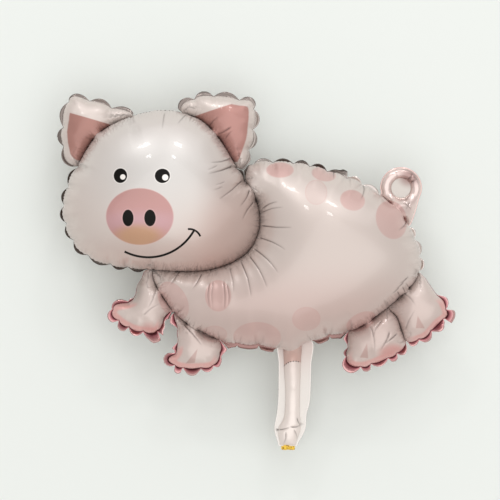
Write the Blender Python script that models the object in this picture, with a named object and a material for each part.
"""Foil pig balloon, filled with air and lying on its back with its printed side up.

Two sheets of foil are welded together along a seam, so the balloon is a set of pillows: head, body, two
ears, four feet, a ring of a tail and a tube in the filling neck. A flat flange of foil runs round them all
outside the seam, and puckers into lobes. X runs from the head to the tail, Y from the neck to the ears, and
Z up through the pillows. The origin is on the surface that the balloon lies on, under its middle.
"""

import bmesh
import bpy
import numpy as np
from math import cos, pi, radians, sin
from mathutils import Vector
from mathutils.geometry import delaunay_2d_cdt

# Driving dimensions, in metres
LENGTH = 0.400  # from the head's edge to the toes of the hind foot
FOIL_EDGE = 0.0012  # the two welded sheets of the flange
REST_FLAT = 0.0010  # how far the two lowest pillows are pressed flat where they lie
HEAD_FLANGE = 0.0050
BODY_FLANGE = 0.0045
EAR_FLANGE = 0.0058
FOOT_FLANGE = 0.0080
TAIL_FLANGE = 0.0012
NECK_FLANGE = 0.0010
BROW_FLANGE = 0.0015
HEAD_LOBE = 0.0200  # the length of seam between two puckers
BODY_LOBE = 0.0180
EAR_LOBE = 0.0200
FOOT_LOBE = 0.0130
TAIL_LOBE = 0.0140
LOBE_CURL = 0.0012  # how far the lobes of the flange bend up and down
PUCKER_REACH = 0.016  # how far a pucker runs in from the seam
SEAM_PINCH = 0.0012  # how far a pucker draws the seam in
TOE_REACH = 0.030  # a foot's flange has its whole width this far from the body
TAIL_RING_RADIUS = 0.0148
TAIL_TUBE_WIDTH = 0.0100
NECK_REACH = 0.176  # from the balloon's middle to the mouth of the neck
NECK_WIDTH = 0.0310
NECK_TUBE_WIDTH = 0.0168
NECK_SAG = 0.012  # how far the limp neck hangs below the seam
VALVE_WIDTH = 0.0136
VALVE_THICKNESS = 0.0008
VALVE_DEPTH = 0.018
VALVE_SHOWS = 0.0045
FIT = 0.0003  # clearance round the valve sleeve
MOUTH_WALL = 0.0012  # foil on each side of the sleeve
MOUTH_WELD = 0.0012

# Shares
FULLNESS = 0.86  # 1 would make a long pillow a round tube
BODY_FULLNESS = 0.975  # of the other pillows'
PUCKER_DEPTH = 0.32  # of a pillow's height, at the seam
ANKLE_FLANGE = 0.35  # of a foot's flange, where the leg meets the body
MOUTH_FULLNESS = 0.38  # of the neck's, at its mouth
LIMP_FROM = 0.69  # of the way down the neck, where it starts to go limp

# The mesh, in metres
CORNERS_A_LOBE = 4
SHORT_RUN = 0.008  # a shorter stretch of seam has two corners a lobe
WELD_STEP = 0.0062
RINGS = ((0.0030, 0.0), (0.0080, 0.0058), (0.0155, 0.0100))  # distance in from the seam, spacing
CENTRE_SPACING = 0.0135
CENTRE_CLEARANCE = 0.0235

# Seam outlines in hundredths of LENGTH from the balloon's middle. The pillow that is named first lies over
# those after it, so an outline's last points, under its neighbour, only have to be covered.
HEAD = [
    (-44.0, 26.75), (-39.75, 33.25), (-33.5, 37.25), (-24.0, 39.75), (-15.25, 38.0), (-9.75, 33.25),
    (-4.5, 25.0), (0.0, 17.5), (0.75, 10.0), (-3.25, 3.5), (-12.75, 0.0), (-26.5, 0.25), (-37.75, 1.75),
    (-44.75, 6.0), (-48.0, 14.0), (-46.75, 21.5),
]
BODY = [
    (-2.25, 24.0), (-0.5, 26.5), (5.5, 27.0), (13.5, 26.0), (22.25, 23.25), (29.0, 20.0), (35.5, 14.5),
    (39.5, 8.0), (41.0, 2.0), (39.25, -3.0), (34.0, -8.25), (25.5, -14.25), (18.5, -16.25), (12.75, -18.0),
    (8.0, -19.75), (1.5, -18.75), (-7.75, -17.75), (-16.5, -13.75), (-22.0, -8.5), (-25.75, -0.75),
    (-21.5, 5.0), (-6.5, 11.25), (-4.0, 18.75),
]
HIND_FOOT_FAR = [
    (33.0, -8.75), (35.25, -12.0), (36.5, -15.5), (37.75, -17.75), (42.0, -16.75), (45.25, -13.5),
    (47.5, -11.25), (46.75, -8.0), (44.5, -5.5), (42.0, -2.0), (39.5, -0.5), (36.0, -3.75),
]
HIND_FOOT_NEAR = [
    (23.25, -15.25), (23.0, -19.25), (22.75, -22.75), (26.0, -24.25), (31.0, -22.75), (35.0, -21.0),
    (37.25, -18.25), (38.0, -13.75), (34.0, -7.5), (24.75, -11.25),
]
FRONT_FOOT_NEAR = [
    (-20.25, -10.5), (-19.5, -15.0), (-19.75, -20.0), (-21.75, -22.5), (-19.0, -24.25), (-14.0, -24.5),
    (-10.5, -23.75), (-9.0, -20.5), (-9.25, -17.5), (-11.5, -13.75), (-16.5, -8.75),
]
FRONT_FOOT_FAR = [
    (-26.0, 1.0), (-29.25, -3.5), (-30.75, -7.5), (-35.25, -9.0), (-35.5, -11.5), (-32.0, -14.25),
    (-27.5, -15.5), (-24.5, -15.0), (-22.75, -11.5), (-21.0, -9.75), (-19.0, -6.25), (-21.5, -1.25),
]
LEFT_EAR = [
    (-44.25, 25.75), (-47.5, 28.0), (-48.5, 33.0), (-48.25, 37.0), (-46.5, 42.75), (-41.0, 42.25),
    (-35.5, 40.5), (-31.0, 39.0), (-32.25, 37.0), (-36.0, 33.0), (-40.25, 27.5),
]
RIGHT_EAR = [
    (-18.0, 38.5), (-18.25, 41.0), (-15.0, 43.0), (-10.25, 43.5), (-5.0, 42.75), (-0.75, 41.25),
    (-0.5, 35.5), (-1.5, 30.5), (-4.0, 25.5), (-8.5, 27.5), (-12.75, 32.5),
]
BROW_LEVEL = 35.0  # the flange is trimmed close between the ears, above this
NECK_ROOT = 15.0  # how far down the neck starts, under the belly
SAG_FROM = 21.25
NECK_PLACE = 9.3  # how far the neck stands towards the tail
MOUTH_PLACE = 8.05
# Share of the way from the neck's root to its mouth, then its middle as a share of the way from NECK_PLACE
# to MOUTH_PLACE, then its width as a share of NECK_WIDTH or NECK_TUBE_WIDTH
NECK_TAB = [
    (0.086, -0.42, 0.98), (0.302, -0.36, 1.0), (0.603, -0.2, 0.98), (0.733, 0.29, 0.92), (0.862, 0.65, 0.95),
]
NECK_TUBE = [
    (0.0, 0.16, 1.0), (0.302, 0.16, 1.0), (0.56, 0.08, 0.86), (0.75, 0.22, 0.94), (0.862, 0.74, 1.34),
]
TAIL_CENTRE = (36.25, 20.5)
TAIL_ARC = (radians(-28), radians(196))
TAIL_ROOT = [(30.5, 16.75), (33.5, 11.5), (38.0, 11.0)]

SMOOTH_STEPS = 12  # straight pieces between two points of an outline
OUTSIDE = -1


def scaled(outline):
    """An outline in metres from one in hundredths of LENGTH."""
    return np.array(outline) * LENGTH / 100


def smooth_loop(corners):
    """A closed Catmull-Rom curve through the corners, as many short straight pieces."""
    before, after, second = np.roll(corners, 1, 0), np.roll(corners, -1, 0), np.roll(corners, -2, 0)
    curve = []
    for t in np.arange(SMOOTH_STEPS) / SMOOTH_STEPS:
        curve.append(
            0.5 * (2 * corners + (after - before) * t + (2 * before - 5 * corners + 4 * after - second) * t**2
                   + (3 * corners - before - 3 * after + second) * t**3)
        )
    return np.stack(curve, 1).reshape(-1, 2)


def tail_outline():
    """The outer edge of the tail's ring, run down into the rump."""
    centre = np.array(TAIL_CENTRE) * LENGTH / 100
    radius = TAIL_RING_RADIUS + TAIL_TUBE_WIDTH / 2
    arc = [centre + radius * np.array((cos(a), sin(a))) for a in np.linspace(*TAIL_ARC, 14)]
    return smooth_loop(np.array(arc + list(scaled(TAIL_ROOT))))


def tail_web_outline():
    """The flat web of foil that fills the tail's ring."""
    centre = np.array(TAIL_CENTRE) * LENGTH / 100
    radius = TAIL_RING_RADIUS - TAIL_TUBE_WIDTH / 2
    return np.array([centre + radius * np.array((cos(a), sin(a))) for a in np.linspace(0, 2 * pi, 48)[:-1]])


def neck_outline(stations, width, mouth):
    """The outline of the neck's tube or tab, from under the belly to beyond the mouth."""
    root, start = NECK_ROOT * LENGTH / 100, NECK_PLACE * LENGTH / 100
    lean = (MOUTH_PLACE - NECK_PLACE) * LENGTH / 100
    rows = [(share, start + along * lean, wide * width / 2) for share, along, wide in stations]
    rows += [(share, start + lean, mouth / 2) for share in (0.98, 1.04, 1.08)]
    down = [root + share * (NECK_REACH - root) for share, _, _ in rows]
    left = [(middle - half, -y) for y, (_, middle, half) in zip(down, rows)]
    right = [(middle + half, -y) for y, (_, middle, half) in zip(down, rows)]
    return smooth_loop(np.array(left + right[::-1]))


MOUTH = VALVE_WIDTH + 2 * (FIT + MOUTH_WALL)
TAB_END = MOUTH + 2 * MOUTH_WELD
# name, outline, lobe length, flange width, narrowest flange as a share of that, fullness; uppermost first
PILLOWS = [
    ("tail web", tail_web_outline(), TAIL_LOBE, 0.0, 1.0, 0.0),
    ("head", smooth_loop(scaled(HEAD)), HEAD_LOBE, HEAD_FLANGE, 0.15, 1.0),
    ("body", smooth_loop(scaled(BODY)), BODY_LOBE, BODY_FLANGE, 0.15, BODY_FULLNESS),
    ("hind foot far", smooth_loop(scaled(HIND_FOOT_FAR)), FOOT_LOBE, FOOT_FLANGE, 0.3, 1.0),
    ("hind foot near", smooth_loop(scaled(HIND_FOOT_NEAR)), FOOT_LOBE, FOOT_FLANGE, 0.3, 1.0),
    ("front foot near", smooth_loop(scaled(FRONT_FOOT_NEAR)), FOOT_LOBE, FOOT_FLANGE, 0.3, 1.0),
    ("front foot far", smooth_loop(scaled(FRONT_FOOT_FAR)), FOOT_LOBE, FOOT_FLANGE, 0.3, 1.0),
    ("left ear", smooth_loop(scaled(LEFT_EAR)), EAR_LOBE, EAR_FLANGE, 0.2, 1.0),
    ("right ear", smooth_loop(scaled(RIGHT_EAR)), EAR_LOBE, EAR_FLANGE, 0.2, 1.0),
    ("tail", tail_outline(), TAIL_LOBE, TAIL_FLANGE, 1.0, 1.0),
    ("neck", neck_outline(NECK_TUBE, NECK_TUBE_WIDTH, MOUTH), TAIL_LOBE, NECK_FLANGE, 1.0, 1.0),
    ("neck tab", neck_outline(NECK_TAB, NECK_WIDTH, TAB_END), TAIL_LOBE, NECK_FLANGE, 1.0, 0.0),
]
NAMES = [pillow[0] for pillow in PILLOWS]
FLAT = [OUTSIDE] + [number for number, pillow in enumerate(PILLOWS) if pillow[5] == 0]
# Where air passes through a weld: the two pillows, and the shares of the weld's length from its upper end
PASSAGES = {
    ("head", "body"): (0.03, 0.12),
    ("head", "left ear"): (0.44, 0.58),
    ("head", "right ear"): (0.40, 0.52),
    ("body", "front foot far"): (0.40, 0.60),
    ("body", "front foot near"): (0.35, 0.55),
    ("body", "hind foot near"): (0.40, 0.60),
    ("body", "hind foot far"): (0.35, 0.60),
    ("body", "neck"): (0.0, 1.0),
    ("body", "tail"): (0.3, 0.8),
}


def inside(outline, points):
    """Which of the points lie inside a closed outline."""
    start, end = outline, np.roll(outline, -1, 0)
    x, y = points[:, 0:1], points[:, 1:2]
    crosses = (start[:, 1] > y) != (end[:, 1] > y)
    rise = end[:, 1] - start[:, 1]
    rise[rise == 0] = 1e-12
    at = start[:, 0] + (y - start[:, 1]) * (end[:, 0] - start[:, 0]) / rise
    return (crosses & (x < at)).sum(1) % 2 == 1


def nearest(points, others):
    """The distance from each point to the nearest of the others, and which one that is."""
    apart = ((points[:, None] - others[None]) ** 2).sum(2)
    return np.sqrt(apart.min(1)), apart.argmin(1)


def pillow_at(points):
    """The number of the uppermost pillow over each point, or OUTSIDE."""
    label = np.full(len(points), OUTSIDE)
    for number in reversed(range(len(PILLOWS))):
        label[inside(PILLOWS[number][1], points)] = number
    return label


def triangulate(points, edges, faces=()):
    """Constrained Delaunay triangles of flat points, as point and triangle arrays. Works in millimetres."""
    flat = [Vector(p) for p in np.asarray(points) * 1000]
    found = delaunay_2d_cdt(flat, list(edges), list(faces), 1 if len(faces) else 0, 0.02, False)
    corners = np.array([tuple(p) for p in found[0]]) / 1000
    triangles = []
    for face in found[2]:
        for k in range(1, len(face) - 1):
            triangles.append((face[0], face[k], face[k + 1]))
    triangles = np.array(triangles)
    a, b, c = (corners[triangles[:, k]] for k in range(3))
    turned = (b[:, 0] - a[:, 0]) * (c[:, 1] - a[:, 1]) - (b[:, 1] - a[:, 1]) * (c[:, 0] - a[:, 0])
    triangles[turned < 0] = triangles[turned < 0][:, ::-1]
    return corners, triangles


def edge_sides(triangles):
    """Each edge of the triangles, with the triangles that share it."""
    sides = {}
    for number, (a, b, c) in enumerate(triangles.tolist()):
        for edge in ((a, b), (b, c), (c, a)):
            sides.setdefault(tuple(sorted(edge)), []).append(number)
    return sides


def seam_paths():
    """The seam and the welds as paths between the places where they meet, with the pillow on each side."""
    faces, points = [], []
    for _, outline, *_ in PILLOWS:
        faces.append(list(range(len(points), len(points) + len(outline))))
        points.extend(outline)
    corners, triangles = triangulate(points, [], faces)
    label = pillow_at(corners[triangles].mean(1))
    between = {}
    for edge, owners in edge_sides(triangles).items():
        labels = sorted({int(label[t]) for t in owners} | ({OUTSIDE} if len(owners) == 1 else set()))
        if len(labels) == 2:
            between[edge] = tuple(labels)
    meets = {}
    for a, b in between:
        meets.setdefault(a, []).append(b)
        meets.setdefault(b, []).append(a)

    def kind(a, b):
        return between[tuple(sorted((a, b)))]

    def is_junction(v):
        return len(meets[v]) != 2 or kind(v, meets[v][0]) != kind(v, meets[v][1])

    unused = set(between)
    paths = []
    for start in sorted(meets, key=lambda v: not is_junction(v)):
        for step in meets[start]:
            if tuple(sorted((start, step))) not in unused:
                continue
            path, here = [start], step
            unused.discard(tuple(sorted((start, step))))
            while here != start and not is_junction(here):
                path.append(here)
                ahead = [n for n in meets[here] if n != path[-2]][0]
                unused.discard(tuple(sorted((here, ahead))))
                here = ahead
            path.append(here)
            paths.append((corners[path], kind(start, step)))
    return paths


def evenly(path, pieces):
    """A path cut into equal pieces, with its length."""
    run = np.r_[0, np.cumsum(np.hypot(*np.diff(path, axis=0).T))]
    at = np.linspace(0, run[-1], pieces + 1)
    return np.stack([np.interp(at, run, path[:, k]) for k in (0, 1)], 1)


class Seam:
    """Every seam and weld as points, with what is needed at each point."""

    def __init__(self):
        self.points, self.edges, self.outer = [], [], []
        self.lobe, self.width, self.free, self.side, self.puckers = [], [], [], [], []
        self.loop_edges = []
        for path, (low, high) in seam_paths():
            run = np.hypot(*np.diff(path, axis=0).T).sum()
            if low == OUTSIDE:
                _, _, pitch, width, narrow, _ = PILLOWS[high]
                lobes = max(1, round(run / pitch))
                corners = CORNERS_A_LOBE if run > SHORT_RUN else 2
                path = evenly(path, lobes * corners)
                phase = np.arange(len(path)) / corners
                lobe = np.abs(np.sin(pi * phase)) ** 0.7
                widths = width * (narrow + (1 - narrow) * lobe)
                if "foot" in NAMES[high]:
                    to_body, _ = nearest(path, PILLOWS[NAMES.index("body")][1])
                    widths *= np.clip(to_body / TOE_REACH, ANKLE_FLANGE, 1)
                if NAMES[high] == "head" and path[:, 1].min() > BROW_LEVEL * LENGTH / 100:
                    widths = np.minimum(widths, BROW_FLANGE)
                sign = np.where(np.floor(phase) % 2 == 0, 1.0, -1.0) * lobe
            else:
                path = evenly(path, max(2, round(run / WELD_STEP)))
                if path[0][1] < path[-1][1]:
                    path = path[::-1]
                lobe, widths, sign = np.ones(len(path)), np.zeros(len(path)), np.zeros(len(path))
            begin, end = PASSAGES.get((NAMES[low], NAMES[high]), (2, 2)) if low != OUTSIDE else (2, 2)
            share = np.linspace(0, 1, len(path))
            free = (share > begin) & (share < end) & (share > 0.01) & (share < 0.99)
            self.add(path, low == OUTSIDE, lobe, widths, free, sign)
            self.puckers.extend([low != OUTSIDE or PILLOWS[high][4] < 1] * len(path))
        self.merge()

    def add(self, path, outer, lobe, widths, free, sign):
        """Takes one path in."""
        first = len(self.points)
        self.points.extend(path)
        chain = [(first + k, first + k + 1) for k in range(len(path) - 1)]
        self.edges.extend(chain)
        if outer:
            self.loop_edges.extend(chain)
        self.lobe.extend(lobe)
        self.width.extend(widths)
        self.free.extend(free)
        self.side.extend(sign)
        self.outer.extend([outer] * len(path))

    def merge(self):
        """Joins the ends of paths that meet, and orders the outer ones into one loop."""
        points = np.array(self.points)
        key, kept, index = {}, [], []
        for number, spot in enumerate(np.round(points * 1e6).astype(int)):
            near = key.setdefault(tuple(spot), len(kept))
            if near == len(kept):
                kept.append(number)
            index.append(near)
        index = np.array(index)
        merged = len(kept)
        width = np.full(merged, 1.0)
        outer = np.zeros(merged, bool)
        for number, target in enumerate(index):
            if self.outer[number]:
                width[target] = min(width[target], self.width[number])
                outer[target] = True
        self.points = points[kept]
        self.lobe = np.array(self.lobe)[kept]
        self.side = np.array(self.side)[kept]
        puckers = np.ones(merged, bool)
        np.logical_and.at(puckers, index, np.array(self.puckers))
        self.puckers = puckers
        free = np.ones(merged, bool)
        np.logical_and.at(free, index, np.array(self.free))
        self.free, self.outer = free, outer
        self.width = np.where(outer, width, 0)
        self.edges = [(int(index[a]), int(index[b])) for a, b in self.edges]
        ahead = {}
        for a, b in self.loop_edges:
            ahead.setdefault(int(index[a]), []).append(int(index[b]))
            ahead.setdefault(int(index[b]), []).append(int(index[a]))
        start = min(ahead)
        loop, here, last = [start], ahead[start][0], start
        while here != start:
            loop.append(here)
            last, here = here, [n for n in ahead[here] if n != last][0]
        ring = self.points[loop]
        after = np.roll(ring, -1, 0)
        area = (ring[:, 0] * after[:, 1] - after[:, 0] * ring[:, 1]).sum() / 2
        self.loop = np.array(loop if area > 0 else loop[::-1])
        draw_in = SEAM_PINCH * (1 - self.lobe[self.loop]) * self.puckers[self.loop]
        self.points[self.loop] -= self.loop_normals() * draw_in[:, None]

    def loop_normals(self):
        """The outward direction at each point of the outer loop."""
        ring = self.points[self.loop]
        along = np.roll(ring, -1, 0) - np.roll(ring, 1, 0)
        out = np.stack([along[:, 1], -along[:, 0]], 1)
        return out / np.linalg.norm(out, axis=1, keepdims=True)

    def flange(self):
        """The outer edge of the flange. Where two runs of it would meet, each keeps to its own side."""
        ring, out = self.points[self.loop], self.loop_normals()
        width = self.width[self.loop].copy()
        apart = ring[None] - ring[:, None]
        toward = (apart * out[:, None]).sum(2)
        room = np.where(toward > 1e-6, (apart**2).sum(2) / (2 * np.maximum(toward, 1e-6)), 1.0)
        width = np.minimum(np.maximum(width, 0.0006), 0.8 * room.min(1))
        return ring + out * width[:, None]


def inner_points(seam):
    """Points inside the pillows: rings that follow the seam, then an even spread."""
    across = np.zeros_like(seam.points)
    for a, b in seam.edges:
        along = seam.points[b] - seam.points[a]
        across[[a, b]] += np.array((along[1], -along[0])) / np.hypot(*along)
    across /= np.maximum(np.linalg.norm(across, axis=1, keepdims=True), 1e-9)
    chosen = np.empty((0, 2))
    for reach, spacing in RINGS:
        tries = np.concatenate([seam.points + across * reach, seam.points - across * reach])
        label = pillow_at(tries)
        away, _ = nearest(tries, seam.points)
        level = np.empty((0, 2))
        for spot in tries[~np.isin(label, FLAT) & (away > 0.86 * reach)]:
            clear_of_level = not len(level) or np.hypot(*(level - spot).T).min() > spacing
            if clear_of_level and (not len(chosen) or np.hypot(*(chosen - spot).T).min() > 0.45 * reach):
                level = np.vstack([level, spot])
        chosen = np.vstack([chosen, level])
    low, high = seam.points.min(0), seam.points.max(0)
    for row, y in enumerate(np.arange(low[1], high[1], CENTRE_SPACING * sin(radians(60)))):
        xs = np.arange(low[0] + (row % 2) * CENTRE_SPACING / 2, high[0], CENTRE_SPACING)
        spots = np.stack([xs, np.full(len(xs), y)], 1)
        away, _ = nearest(spots, seam.points)
        chosen = np.vstack([chosen, spots[(pillow_at(spots) != OUTSIDE) & (away > CENTRE_CLEARANCE)]])
    return chosen


def pillow_heights(corners, triangles, label, fixed):
    """Half the thickness at each corner: a membrane is blown up between the seams, then rounded."""
    count = len(corners)
    stiff = np.zeros((count, count))
    load = np.zeros(count)
    fullness = np.zeros(count)
    for triangle, number in zip(triangles, label):
        a, b, c = corners[triangle]
        area = abs((b[0] - a[0]) * (c[1] - a[1]) - (b[1] - a[1]) * (c[0] - a[0])) / 2
        opposite = np.array((c - b, a - c, b - a))
        stiff[np.ix_(triangle, triangle)] += opposite @ opposite.T / (4 * max(area, 1e-12))
        if number not in FLAT:
            load[triangle] += area / 3
            fullness[triangle] = np.maximum(fullness[triangle], PILLOWS[number][5])
    free = np.flatnonzero(~fixed)
    blown = np.zeros(count)
    blown[free] = np.linalg.solve(stiff[np.ix_(free, free)], load[free])
    return np.sqrt((FOIL_EDGE / 2) ** 2 + 2 * (FULLNESS * fullness) ** 2 * np.maximum(blown, 0))


def sag(y):
    """How far the limp neck hangs below the seam at each place."""
    start = SAG_FROM * LENGTH / 100
    share = np.clip((-y - start) / (0.9 * NECK_REACH - start), 0, 1)
    return NECK_SAG * share**2 * (3 - 2 * share)


def limpness(y):
    """The share of its height that the neck keeps at each place."""
    root = NECK_ROOT * LENGTH / 100
    start = root + LIMP_FROM * (NECK_REACH - root)
    return 1 + (MOUTH_FULLNESS - 1) * np.clip((-y - start) / (NECK_REACH - start), 0, 1)


def balloon_mesh():
    """Both sheets of foil as one closed mesh, and the height of the seam at the neck's mouth."""
    seam = Seam()
    rim = seam.flange()
    inner = inner_points(seam)
    count = len(seam.points)
    points = np.concatenate([seam.points, rim, inner])
    around = [(count + k, count + (k + 1) % len(rim)) for k in range(len(rim))]
    corners, triangles = triangulate(points, seam.edges + around)
    triangles = triangles[inside(rim, corners[triangles].mean(1))]
    centres = corners[triangles].mean(1)
    label = pillow_at(centres)
    within = inside(seam.points[seam.loop], centres)
    known = within & (label != OUTSIDE)
    _, neighbour = nearest(centres, centres[known])
    label = np.where(within, label[known][neighbour], OUTSIDE)

    away, near = nearest(corners, seam.points)
    on_seam = away < 2e-5
    loose = np.ones(len(corners), bool)
    loose[triangles[~np.isin(label, FLAT)].ravel()] = False
    fixed = loose | (on_seam & ~seam.free[near])
    height = pillow_heights(corners, triangles, label, fixed)

    pucker = (1 - seam.lobe[near]) * seam.outer[near] * np.exp(-((away / PUCKER_REACH) ** 2))
    height *= (1 - PUCKER_DEPTH * pucker * (away > 2e-5)) * limpness(corners[:, 1])
    height = np.maximum(height, FOIL_EDGE / 2)

    lowest = min(
        height[np.unique(triangles[label == NAMES.index(name)])].max() for name in ("head", "body")
    )
    level = lowest - REST_FLAT
    curl = np.where(loose, seam.side[near] * LOBE_CURL * np.minimum(away / 0.004, 1), 0)
    middle = level - sag(corners[:, 1]) + curl
    top = np.column_stack([corners, middle + height])
    bottom = np.column_stack([corners, np.maximum(middle - height, 0)])

    mesh = bmesh.new()
    over = [mesh.verts.new(p) for p in top]
    under = [mesh.verts.new(p) for p in bottom]
    for a, b, c in triangles.tolist():
        mesh.faces.new((over[a], over[b], over[c]))
        mesh.faces.new((under[c], under[b], under[a]))
    for (a, b), owners in edge_sides(triangles).items():
        if len(owners) == 1:
            triangle = triangles[owners[0]].tolist()
            if triangle[(triangle.index(a) + 1) % 3] != b:
                a, b = b, a
            mesh.faces.new((over[b], over[a], under[a], under[b]))
    used = set(triangles.ravel().tolist())
    unused = [v for k in range(len(corners)) if k not in used for v in (over[k], under[k])]
    bmesh.ops.delete(mesh, geom=unused, context="VERTS")
    return mesh, level - NECK_SAG


def box(name, low, high):
    """A box between two corners."""
    mesh = bmesh.new()
    bmesh.ops.create_cube(mesh, size=1)
    for corner in mesh.verts:
        corner.co = Vector((low[k] if corner.co[k] < 0 else high[k] for k in range(3)))
    return add_object(name, mesh)


def add_object(name, mesh):
    """Links a bmesh to the scene as an object."""
    data = bpy.data.meshes.new(name)
    bmesh.ops.recalc_face_normals(mesh, faces=mesh.faces)
    mesh.to_mesh(data)
    mesh.free()
    made = bpy.data.objects.new(name, data)
    bpy.context.scene.collection.objects.link(made)
    return made


def cut(target, cutter):
    """Takes the cutter's shape out of the target."""
    modifier = target.modifiers.new(cutter.name, "BOOLEAN")
    modifier.operation, modifier.solver, modifier.object = "DIFFERENCE", "EXACT", cutter
    cutter.hide_render = True
    cutter.display_type = "WIRE"


def material(name, colour, roughness, metallic):
    """A plain material in the piece's own colour."""
    made = bpy.data.materials.new(name)
    made.use_nodes = True
    shader = made.node_tree.nodes["Principled BSDF"]
    shader.inputs["Base Color"].default_value = (*colour, 1)
    shader.inputs["Roughness"].default_value = roughness
    shader.inputs["Metallic"].default_value = metallic
    return made


def make_balloon():
    """The welded foil, its neck cut off square and slotted for the valve sleeve."""
    mesh, mouth_level = balloon_mesh()
    balloon = add_object("balloon", mesh)
    balloon.data.materials.append(material("pearl pink foil", (0.75, 0.62, 0.58), 0.28, 0.5))
    balloon.data.shade_smooth()
    balloon.data.set_sharp_from_angle(angle=radians(60))
    mouth, centre = -NECK_REACH, MOUTH_PLACE * LENGTH / 100
    far = NECK_WIDTH * 2
    cut(balloon, box("neck_end_cutter", (centre - far, mouth - far, -far), (centre + far, mouth, LENGTH)))
    half, thick = VALVE_WIDTH / 2 + FIT, VALVE_THICKNESS / 2 + FIT
    slot_top = mouth + VALVE_DEPTH + FIT
    cut(balloon, box("valve_slot_cutter", (centre - half, mouth - VALVE_DEPTH, mouth_level - thick),
                     (centre + half, slot_top, mouth_level + thick)))
    return balloon, mouth_level


def make_valve(mouth_level):
    """The flat sleeve of film that air is blown through, standing a little out of the neck."""
    centre, half, thick = MOUTH_PLACE * LENGTH / 100, VALVE_WIDTH / 2, VALVE_THICKNESS / 2
    valve = box("valve_sleeve", (centre - half, -NECK_REACH - VALVE_SHOWS, mouth_level - thick),
                (centre + half, -NECK_REACH + VALVE_DEPTH, mouth_level + thick))
    valve.data.materials.append(material("yellow film", (0.80, 0.60, 0.10), 0.4, 0.0))
    return valve


def settle(*made):
    """Moves everything so that the origin is under the middle of the whole."""
    bpy.context.view_layer.update()
    seen = bpy.context.evaluated_depsgraph_get()
    corners = [c.matrix_world @ Vector(p) for o in made for c in [o.evaluated_get(seen)] for p in c.bound_box]
    low = [min(c[k] for c in corners) for k in range(3)]
    high = [max(c[k] for c in corners) for k in range(3)]
    shift = Vector((-(low[0] + high[0]) / 2, -(low[1] + high[1]) / 2, -low[2]))
    for item in bpy.data.objects:
        item.location += shift


def main():
    for item in list(bpy.data.objects):
        bpy.data.objects.remove(item)
    balloon, mouth_level = make_balloon()
    settle(balloon, make_valve(mouth_level))


if __name__ == "__main__":
    main()
